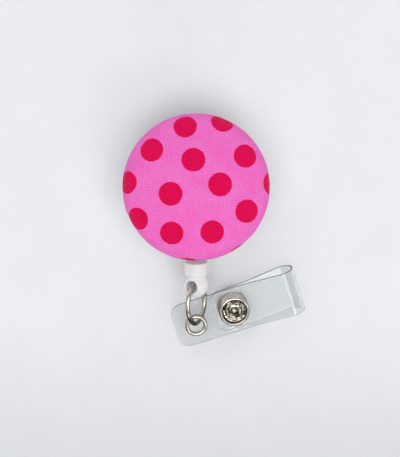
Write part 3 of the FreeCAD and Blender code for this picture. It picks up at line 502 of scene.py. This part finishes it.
CROWN_RADIUS = 42 * MM
SHOULDER_RADIUS = 4.5 * MM
RIM_ROLL = 0.95 * MM
CLOTH = 0.4 * MM
TUCK_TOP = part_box("button_back_plate")[1].z + 0.2 * MM
RIM_STEPS = 14
COVER_SEGMENTS = 288
PLEATS = 46
PLEAT_LIFT = 0.22 * MM
PLEAT_TWIST = 0.004
PUCKER = 0.03 * MM
PUCKER_ROWS = 10


def button_outline(inset):
    """The cloth's section from the crown to the tuck as (radius, height), moved inwards by inset."""
    crown_z = BUTTON_TOP - CROWN_RADIUS
    shoulder_r = BUTTON_RADIUS - SHOULDER_RADIUS
    shoulder_z = crown_z + math.sqrt((CROWN_RADIUS - SHOULDER_RADIUS) ** 2 - shoulder_r ** 2)
    meeting = math.degrees(math.atan2(shoulder_z - crown_z, shoulder_r))
    roll_r = BUTTON_RADIUS - RIM_ROLL
    crown = arc_points((0, crown_z), CROWN_RADIUS - inset, 90, meeting, 40)
    shoulder = arc_points((shoulder_r, shoulder_z), SHOULDER_RADIUS - inset, meeting, 0, 24)
    roll = arc_points((roll_r, shoulder_z), RIM_ROLL - inset, 0, -180, RIM_STEPS)
    tuck = [(roll_r - RIM_ROLL + inset, TUCK_TOP)]
    return crown + shoulder[1:] + roll[1:] + tuck


def cloth_lengths(outline):
    """The length along the cloth from its middle to each point of the outline."""
    lengths = [0.0]
    for before, after in zip(outline, outline[1:]):
        lengths.append(lengths[-1] + math.dist(before, after))
    return lengths


def gather_cloth(vertex, angle, past_rim, pleats):
    """Pucker the cloth about the rim, and lift and twist it into pleats in the rows past the rim."""
    gather = max(0.0, past_rim / RIM_STEPS) ** 1.3
    place = (angle / TURN % 1) * PLEATS
    shift, depth = pleats[int(place) % PLEATS]
    wave = math.sin(math.pi * (place % 1)) ** 2 * depth
    twist = gather * shift * PLEAT_TWIST
    near_rim = max(0.0, 1 - abs(past_rim) / PUCKER_ROWS)
    pull = near_rim * PUCKER * (math.sin(angle * 19 + 2 * math.sin(angle * 7)) - 1)
    radius = math.hypot(vertex.co.x, vertex.co.y) + pull
    vertex.co.x = math.cos(angle + twist) * radius
    vertex.co.y = math.sin(angle + twist) * radius
    vertex.co.z += gather * wave * PLEAT_LIFT


def cover_button():
    """Taut cotton over the button's shell, gathered into small pleats where it turns under the rim."""
    dice = random.Random(7)
    shifts = [dice.uniform(-0.6, 0.6) for _ in range(PLEATS)]
    depths = [dice.uniform(0.4, 1.0) for _ in range(PLEATS)]
    outer = button_outline(0)
    profile = outer + button_outline(CLOTH)[::-1]
    piece = turn_profile("button_cover", profile, COVER_SEGMENTS)
    rows = []
    for row, (radius, _) in enumerate(profile):
        rows += [row] * (1 if radius < TINY else COVER_SEGMENTS)

    lengths = cloth_lengths(outer)
    widest_row = len(outer) - RIM_STEPS - 2
    flat_place = piece.data.attributes.new("cloth_place", "FLOAT_VECTOR", "POINT")
    for vertex, row in zip(piece.data.vertices, rows):
        angle = math.atan2(vertex.co.y, vertex.co.x)
        outer_row = min(row, len(profile) - 1 - row)
        reach = lengths[outer_row]
        flat_place.data[vertex.index].vector = (
            reach * math.cos(angle), reach * math.sin(angle), 0)
        gather_cloth(vertex, angle, outer_row - widest_row, list(zip(shifts, depths)))
    dress(piece, MATERIALS["cotton_print"])
    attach(piece, "case")
    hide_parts("fabric_cover")


# ---- vinyl strap ----------------------------------------------------------------------------

def local_box(node, matrix):
    """Lowest and highest corners of a CAD node along another frame's axes."""
    inverse = matrix.inverted()
    corners = np.array([inverse @ vertex.co for vertex in nodes[node].data.vertices])
    return Vector(corners.min(0)), Vector(corners.max(0))


front_low, front_high = local_box("strap_front_leaf", strap_frame)
back_low, back_high = local_box("strap_back_leaf", strap_frame)
VINYL = -2 * local_box("snap_socket", strap_frame)[1].z
STRAP_MIDDLE = (front_low.y + front_high.y) / 2
STRAP_WIDTH = front_high.y - front_low.y
STRAP_CORNER = 3 * MM
EYELET_HOLE = 2.3 * MM
SNAP_HOLE = 1.4 * MM
TAIL_TAPER = 0.9 * MM
PARTING_BEND = 26 * MM
SHEET_STEP = 0.7 * MM
HOLE_POINTS = 40
BACK_LEVEL = back_high.z - VINYL / 2
FOLD_MIDDLE_Z = BACK_LEVEL / 2
FOLD_RADIUS = front_high.z - VINYL / 2 - FOLD_MIDDLE_Z
FOLD_MIDDLE_X = front_high.x - VINYL / 2 - FOLD_RADIUS
STRAP_LEFT = front_low.x
STRAP_TAIL = back_low.x


def strap_line():
    """The band's middle line as (x, z): the front leaf, round the fold, then the back leaf."""
    hinge = strap_frame.inverted() @ fold_hinge
    slope = math.asin((FOLD_MIDDLE_X - hinge.x) / FOLD_RADIUS)
    run = (hinge.z - BACK_LEVEL) / -math.tan(slope)
    parting = hinge.x - run
    setback = PARTING_BEND * math.tan(slope / 2)
    swing = math.degrees(slope)
    front = [(STRAP_LEFT, 0.0)]
    front += arc_points((parting - setback, PARTING_BEND), PARTING_BEND, -90, -90 + swing, 10)
    fold = arc_points((FOLD_MIDDLE_X, FOLD_MIDDLE_Z), FOLD_RADIUS, 90 + swing, -90 - swing, 40)
    back = arc_points((parting - setback, BACK_LEVEL - PARTING_BEND), PARTING_BEND,
                      90 - swing, 90, 10)
    return front + fold + back + [(STRAP_TAIL, BACK_LEVEL)]


class Path:
    """A line of (x, z) points that can be asked for its point and normal at a length."""

    def __init__(self, corners):
        self.corners = [Vector(c) for c in corners]
        self.lengths = [0.0]
        for before, after in zip(self.corners, self.corners[1:]):
            self.lengths.append(self.lengths[-1] + (after - before).length)
        self.total = self.lengths[-1]

    def at(self, length):
        """The point at a length and the normal there."""
        leg = int(np.searchsorted(self.lengths, length, side="right")) - 1
        leg = min(max(leg, 0), len(self.corners) - 2)
        start, end = self.corners[leg], self.corners[leg + 1]
        share = (length - self.lengths[leg]) / (end - start).length
        heading = (end - start).normalized()
        return start.lerp(end, share), Vector((-heading.y, heading.x))

    def length_near(self, x, z):
        """The length whose point is nearest (x, z)."""
        target = Vector((x, z))
        count = 2000
        steps = [self.total * n / count for n in range(count + 1)]
        return min(steps, key=lambda length: (self.at(length)[0] - target).length)


def rounded_gap(x, y, length):
    """How far a point on the flattened band is outside its rounded outline. Negative is inside."""
    beyond_x = abs(x - length / 2) - length / 2 + STRAP_CORNER
    beyond_y = abs(y - STRAP_MIDDLE) - STRAP_WIDTH / 2 + STRAP_CORNER
    outside = math.hypot(max(beyond_x, 0), max(beyond_y, 0))
    return outside + min(max(beyond_x, beyond_y), 0) - STRAP_CORNER


def strap_outline(length):
    """The flattened band's outline, counter-clockwise, with rounded corners."""
    low, high = STRAP_MIDDLE - STRAP_WIDTH / 2, STRAP_MIDDLE + STRAP_WIDTH / 2
    corner = STRAP_CORNER
    count = int((length - 2 * corner) / SHEET_STEP)
    side = [corner + (length - 2 * corner) * n / count for n in range(1, count)]
    right_low = arc_points((length - corner, low + corner), corner, -90, 0, 8)
    right_high = arc_points((length - corner, high - corner), corner, 0, 90, 8)
    left_high = arc_points((corner, high - corner), corner, 90, 180, 8)
    left_low = arc_points((corner, low + corner), corner, 180, 270, 8)
    upper = [(x, high) for x in side[::-1]]
    lower = [(x, low) for x in side]
    return right_low + right_high + upper + left_high + left_low + lower


def punched_holes(path):
    """The band's holes as (x, y, radius): one for the eyelet and one in each leaf for the snap."""
    post_low, post_high = local_box("snap_post", strap_frame)
    snap_x, snap_y = (post_low.x + post_high.x) / 2, (post_low.y + post_high.y) / 2
    return [
        (path.length_near(0, 0), 0.0, EYELET_HOLE),
        (path.length_near(snap_x, 0), snap_y, SNAP_HOLE),
        (path.length_near(snap_x, BACK_LEVEL), snap_y, SNAP_HOLE),
    ]


def flat_sheet(length, holes):
    """The flattened band as points and triangles, with its holes left open."""
    points = [Vector(p) for p in strap_outline(length)]
    edges = [(n, (n + 1) % len(points)) for n in range(len(points))]
    for x, y, radius in holes:
        first = len(points)
        points += [Vector(p) for p in arc_points(
            (x, y), radius, 0, 360 - 360 / HOLE_POINTS, HOLE_POINTS - 1)]
        edges += [(first + n, first + (n + 1) % HOLE_POINTS) for n in range(HOLE_POINTS)]

    def gap(spot):
        """Distance outside the vinyl. Negative is within it."""
        inside_hole = max(radius - math.hypot(spot.x - x, spot.y - y) for x, y, radius in holes)
        return max(rounded_gap(spot.x, spot.y, length), inside_hole)

    for column in range(1, int(length / SHEET_STEP)):
        for row in range(-1, int(STRAP_WIDTH / SHEET_STEP) + 1):
            spot = Vector((column * SHEET_STEP, STRAP_MIDDLE - STRAP_WIDTH / 2 + row * SHEET_STEP))
            if gap(spot) < -SHEET_STEP / 2:
                points.append(spot)
    flat, _, triangles, *_ = delaunay_2d_cdt(points, edges, [], 0, TINY)
    middles = [sum((flat[n] for n in t), Vector((0, 0))) / 3 for t in triangles]
    return flat, [t for t, middle in zip(triangles, middles) if gap(middle) < 0]


def bent_band(path, flat, triangles, hinge_length):
    """The flat sheet bent along its path: a skin on each side and a cut edge between them."""
    places = []
    for side in (0.5, -0.5):
        for spot in flat:
            centre, normal = path.at(spot.x)
            where = centre + normal * side * VINYL
            taper = max(spot.x - hinge_length, 0) / (path.total - hinge_length) * TAIL_TAPER
            across = spot.y - taper * max(spot.y, 0) / (STRAP_MIDDLE + STRAP_WIDTH / 2)
            places.append(strap_frame @ Vector((where.x, across, where.y)))
    below = len(flat)
    sides = {(a, b) for t in triangles for a, b in zip(t, list(t[1:]) + [t[0]])}
    rim = sorted((a, b) for a, b in sides if (b, a) not in sides)
    faces = [list(t) for t in triangles]
    faces += [[n + below for n in t[::-1]] for t in triangles]
    faces += [[b, a, a + below, b + below] for a, b in rim]
    piece = mesh_piece("vinyl_strap", places, faces)
    piece.data.materials.append(MATERIALS["clear_vinyl"])
    piece.data.materials.append(MATERIALS["vinyl_edge"])
    for polygon in piece.data.polygons[-len(rim):]:
        polygon.material_index = 1
    piece.data.set_sharp_from_angle(angle=SHARP_EDGE)
    return piece


def vinyl_strap():
    """One band of clear vinyl, bent round the fold, that narrows a little past the fold's hinge."""
    path = Path(strap_line())
    hinge_length = path.length_near(*(strap_frame.inverted() @ fold_hinge).xz)
    flat, triangles = flat_sheet(path.total, punched_holes(path))
    piece = bent_band(path, flat, triangles, hinge_length)
    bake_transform(piece)
    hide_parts("strap_front_leaf", "strap_back_leaf")


# ---- eyelet and press snap ------------------------------------------------------------------

def turned_metal(name, node, body, profile, place, material=None):
    """A finely turned metal piece that stands for a CAD node."""
    piece = turn_profile(name, profile, matrix=place)
    piece.data.set_sharp_from_angle(angle=SHARP_EDGE)
    dress(piece, material or MATERIALS["nickel"])
    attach(piece, body)
    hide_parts(node)


def eyelet():
    """The eyelet's barrel with a rolled collar on each side of the band."""
    low, high = local_box("strap_eyelet", strap_frame)
    flange, height = high.x, high.z
    skin = VINYL / 2
    bore = flange - 1.0 * MM
    barrel = bore + 0.35 * MM
    roll = (flange - bore) / 2
    upper = arc_points((bore + roll, height - roll), roll, 180, 0, 24)
    lower = [(r, -z) for r, z in upper[::-1]]
    profile = upper + [(flange, skin), (barrel, skin), (barrel, -skin), (flange, -skin)] + lower
    turned_metal("rolled_eyelet", "strap_eyelet", "strap", profile, strap_frame)


def snap_place():
    """The strap's frame moved to the middle of the snap."""
    low, high = local_box("snap_post", strap_frame)
    middle = Vector(((low.x + high.x) / 2, (low.y + high.y) / 2, 0))
    return strap_frame @ Matrix.Translation(middle)


def snap_ring():
    """The snap's front: a rolled rim, a spring ridge in the recess and a bead in the middle."""
    place = snap_place()
    low, high = local_box("snap_post", place)
    radius, top, foot = high.x, high.z, low.z
    skin = VINYL / 2
    recess = skin + 0.3 * MM
    rim_slope, rim_roll = 0.30 * MM, 0.50 * MM
    ridge, ridge_half = 2.2 * MM, 0.35 * MM
    bead, bead_rise = 0.95 * MM, 0.7 * MM
    barrel = 1.6 * MM
    rivet = 1.2 * MM
    bead_dome = (bead ** 2 + bead_rise ** 2) / (2 * bead_rise)
    swing = math.degrees(math.asin(bead / bead_dome))
    inside = radius - rim_roll - rim_slope
    profile = arc_points((0, recess + bead_rise - bead_dome), bead_dome, 90, 90 - swing, 12)
    profile += [(bead + 0.12 * MM, recess - 0.1 * MM), (ridge - ridge_half, recess - 0.1 * MM)]
    profile += arc_points((ridge, recess + ridge_half), ridge_half, 180, 0, 16)
    profile += [(ridge + ridge_half, recess), (inside - 0.15 * MM, recess)]
    profile += [(inside, recess + 0.15 * MM), (inside, top - rim_slope)]
    profile += arc_points((radius - rim_roll, top - rim_roll), rim_roll, 90, 0, 12)
    profile += [(radius, skin), (barrel, skin), (barrel, -skin), (rivet, -skin), (rivet, foot)]
    profile += [(0, foot)]
    centre = place @ Vector((0, 0, recess))
    # Its recess is darkened in patches by painted shade.
    mottled = nickel("recess_shaded_nickel", recess=(centre, bead, inside))
    turned_metal("snap_ring", "snap_post", "strap", profile, place, mottled)


def snap_socket():
    """The drum between the leaves."""
    place = snap_place()
    low, high = local_box("snap_socket", place)
    radius, roof, foot = high.x, high.z, low.z
    edge = 0.25 * MM
    mouth, throat, ceiling = 1.8 * MM, 1.2 * MM, roof - 0.5 * MM
    profile = [(throat, roof)]
    profile += arc_points((radius - edge, roof - edge), edge, 90, 0, 8)
    profile += arc_points((radius - edge, foot + edge), edge, 0, -90, 8)
    profile += [(mouth, foot), (mouth, ceiling), (throat, ceiling)]
    turned_metal("snap_drum", "snap_socket", "strap", profile, place, MATERIALS["satin_nickel"])


def snap_cap():
    """The smooth domed cap behind the back leaf and its barrel."""
    place = snap_place()
    low, high = local_box("snap_cap", place)
    radius, foot, barrel_top = high.x, low.z, high.z
    seat = BACK_LEVEL - VINYL / 2
    edge = 0.25 * MM
    rise = seat - edge - foot
    dome = (radius ** 2 + rise ** 2) / (2 * rise)
    swing = math.degrees(math.asin(radius / dome))
    barrel = 0.85 * MM
    profile = arc_points((0, foot + dome), dome, -90, -90 + swing, 24)
    profile += [(radius, seat), (barrel, seat), (barrel, barrel_top), (0, barrel_top)]
    turned_metal("snap_dome", "snap_cap", "flap", profile, place, MATERIALS["satin_nickel"])


# ---- cord -----------------------------------------------------------------------------------

def pulled_cord():
    """The cord from inside the nozzle to inside the cord end."""
    tail_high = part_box("cord_tail")[1]
    radius = tail_high.x
    bend = ball_centre + cord_direction * ((CORD_LEVEL - ball_centre.z) / cord_direction.z)
    start = Vector((0, tail_high.y + radius, CORD_LEVEL))
    inside_collar = 2.3 * MM
    finish = bend + cord_direction * inside_collar
    legs = [start.lerp(bend, n / 30) for n in range(30)]
    legs += [bend.lerp(finish, n / 10) for n in range(11)]
    piece = tube("pulled_cord", legs, radius, sides=20)
    dress(piece, MATERIALS["nylon_cord"])
    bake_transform(piece)
    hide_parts("cord_tail")


# ---- stage ----------------------------------------------------------------------------------

BACKDROP = srgb(232, 233, 237)
VIEW_HEIGHT = 118.1 * MM
VIEW_MIDDLE = Vector((1.0, -10.7, 0)) * MM
LENS = 300
SENSOR = 36


def overhead_camera():
    """A long lens straight above the reel. The view's height is measured where the button is widest."""
    lens = bpy.data.cameras.new("camera")
    lens.lens = LENS
    lens.sensor_width = SENSOR
    lens.clip_end = 50
    camera = bpy.data.objects.new("camera", lens)
    camera.location = VIEW_MIDDLE + Vector((0, 0, BUTTON_BASE + VIEW_HEIGHT * LENS / SENSOR))
    bpy.context.scene.collection.objects.link(camera)
    bpy.context.scene.camera = camera


def paper(name="floor_paper"):
    """Pale paper, mottled, with painted shade that darkens it towards the front, that fades into the backdrop far
    away.
    """
    s = Shader(name)
    place = s.place()
    # Painted shade: the paper darkens towards the front, where the light falls off.
    painted_front_shade = s.remap(s.axes(place)[1], -0.09, -0.025)
    mottled = s.noise(place, 14)
    colour = s.mix(painted_front_shade, srgb(218, 220, 223), srgb(242, 243, 246))
    darker = s.mix(0.98, srgb(0, 0, 0), colour)
    colour = s.mix(s.remap(mottled, 0.3, 0.7), darker, colour)
    sheet = s.add("BsdfPrincipled", Base_Color=colour, Roughness=0.9,
                  Normal=s.bump(s.noise(place, 0.5), 0.02, 0.3))
    s.feed(sheet, "Specular IOR Level", 0.1)
    away = s.vector("LENGTH", i0=place)
    seen = s.add("LightPath").outputs["Is Camera Ray"]
    far = s.calc("MULTIPLY", s.remap(away, 0.12, 0.60), seen)
    backdrop = s.add("Emission", Color=BACKDROP)
    return s.finish(s.mix_shaders(far, sheet, backdrop))


def probe(body, point):
    """An empty that rides on a body and tells the floor how low that body reaches."""
    marker = bpy.data.objects.new("probe", None)
    marker.location = point
    bpy.context.scene.collection.objects.link(marker)
    if body:
        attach(marker, body)
    return marker


def strap_point(x, y, z):
    """A point given along the strap's own axes."""
    return strap_frame @ Vector((x, y, z))


def floor_probes():
    """Marks on the places of each body that can reach below the resting height."""
    lever_low, lever_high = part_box("clip_lever")
    link_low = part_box("link_ring")[0]
    cap_low, cap_high = local_box("snap_cap", strap_frame)
    probes = [probe(None, (0, 0, FLOOR_LEVEL)), probe("link", (0, link_low.y, link_low.z))]
    for y in (lever_low.y, lever_high.y):
        probes.append(probe("lever", (0, y, lever_low.z)))
    for y in (front_low.y, front_high.y):
        probes.append(probe("strap", strap_point(STRAP_LEFT, y, -VINYL / 2)))
        probes.append(probe("strap", strap_point(FOLD_MIDDLE_X, y, front_low.z)))
        probes.append(probe("strap", strap_point(front_high.x, y, FOLD_MIDDLE_Z)))
        probes.append(probe("strap", strap_point(FOLD_MIDDLE_X, y, front_high.z)))
        probes.append(probe("flap", strap_point(STRAP_TAIL, y, back_low.z)))
        probes.append(probe("flap", strap_point(STRAP_TAIL, y, BACK_LEVEL)))
    for x in (cap_low.x, cap_high.x):
        probes.append(probe("flap", strap_point(x, cap_low.y, cap_low.z)))
    return probes


def floor():
    """The table top. It drops when a moving piece reaches below the resting height."""
    half = 4.0
    corners = [(-half, -half, 0), (half, -half, 0), (half, half, 0), (-half, half, 0)]
    piece = mesh_piece("floor", corners, [[0, 1, 2, 3]])
    dress(piece, paper())
    driver = piece.driver_add("location", 2).driver
    driver.type = "MIN"
    for number, marker in enumerate(floor_probes()):
        variable = driver.variables.new()
        variable.name = f"low{number}"
        variable.type = "TRANSFORMS"
        variable.targets[0].id = marker
        variable.targets[0].transform_type = "LOC_Z"
        variable.targets[0].transform_space = "WORLD_SPACE"


def panel(name, direction, distance, width, height, power):
    """A soft rectangular light in this direction, aimed at the reel."""
    aim = Vector((0, VIEW_MIDDLE.y, 0))
    light = bpy.data.lights.new(name, "AREA")
    light.shape = "RECTANGLE"
    light.size, light.size_y = width, height
    light.energy = power
    lamp = bpy.data.objects.new(name, light)
    lamp.location = aim + Vector(direction).normalized() * distance
    lamp.rotation_euler = (aim - lamp.location).to_track_quat("-Z", "Y").to_euler()
    bpy.context.scene.collection.objects.link(lamp)


def studio_lights():
    """A softbox high in front, a low strip before the reel, a fill from behind and an accent."""
    panel("softbox", (0.04, -0.22, 0.97), 1.1, 1.00, 0.60, 5.9)
    panel("strip", (0.10, -0.93, 0.36), 1.2, 1.2, 0.25, 2.0)
    panel("fill", (-0.25, 0.60, 0.76), 1.3, 1.2, 0.8, 3.0)
    panel("accent", (0.40, -0.57, 0.72), 1.2, 0.50, 0.24, 1.5)


def studio_world():
    """What the metal mirrors: pale walls, a dim ceiling and a dark room beyond the front edge."""
    s = Shader("studio", world=True)
    axes = s.axes(s.place("Generated"))
    ceiling = s.remap(axes[2], 0.45, 0.72)
    front = s.remap(axes[1], -0.35, -0.75)
    low = s.remap(axes[2], 0.55, 0.30)
    walls = s.mix(ceiling, (0.95, 0.97, 1.0, 1), (0.26, 0.26, 0.27, 1))
    room = s.mix(s.calc("MULTIPLY", front, low), walls, (0.08, 0.08, 0.085, 1))
    lit = s.add("Background", Color=room, Strength=0.74)
    backdrop = s.add("Background", Color=BACKDROP)
    seen = s.add("LightPath").outputs["Is Camera Ray"]
    bpy.context.scene.world = s.finish(s.mix_shaders(seen, lit, backdrop))


# ---- build ----------------------------------------------------------------------------------

dress_nodes()
cover_button()
vinyl_strap()
eyelet()
snap_ring()
snap_socket()
snap_cap()
pulled_cord()
floor()
studio_world()
studio_lights()
overhead_camera()
bpy.context.scene.view_settings.view_transform = "Standard"
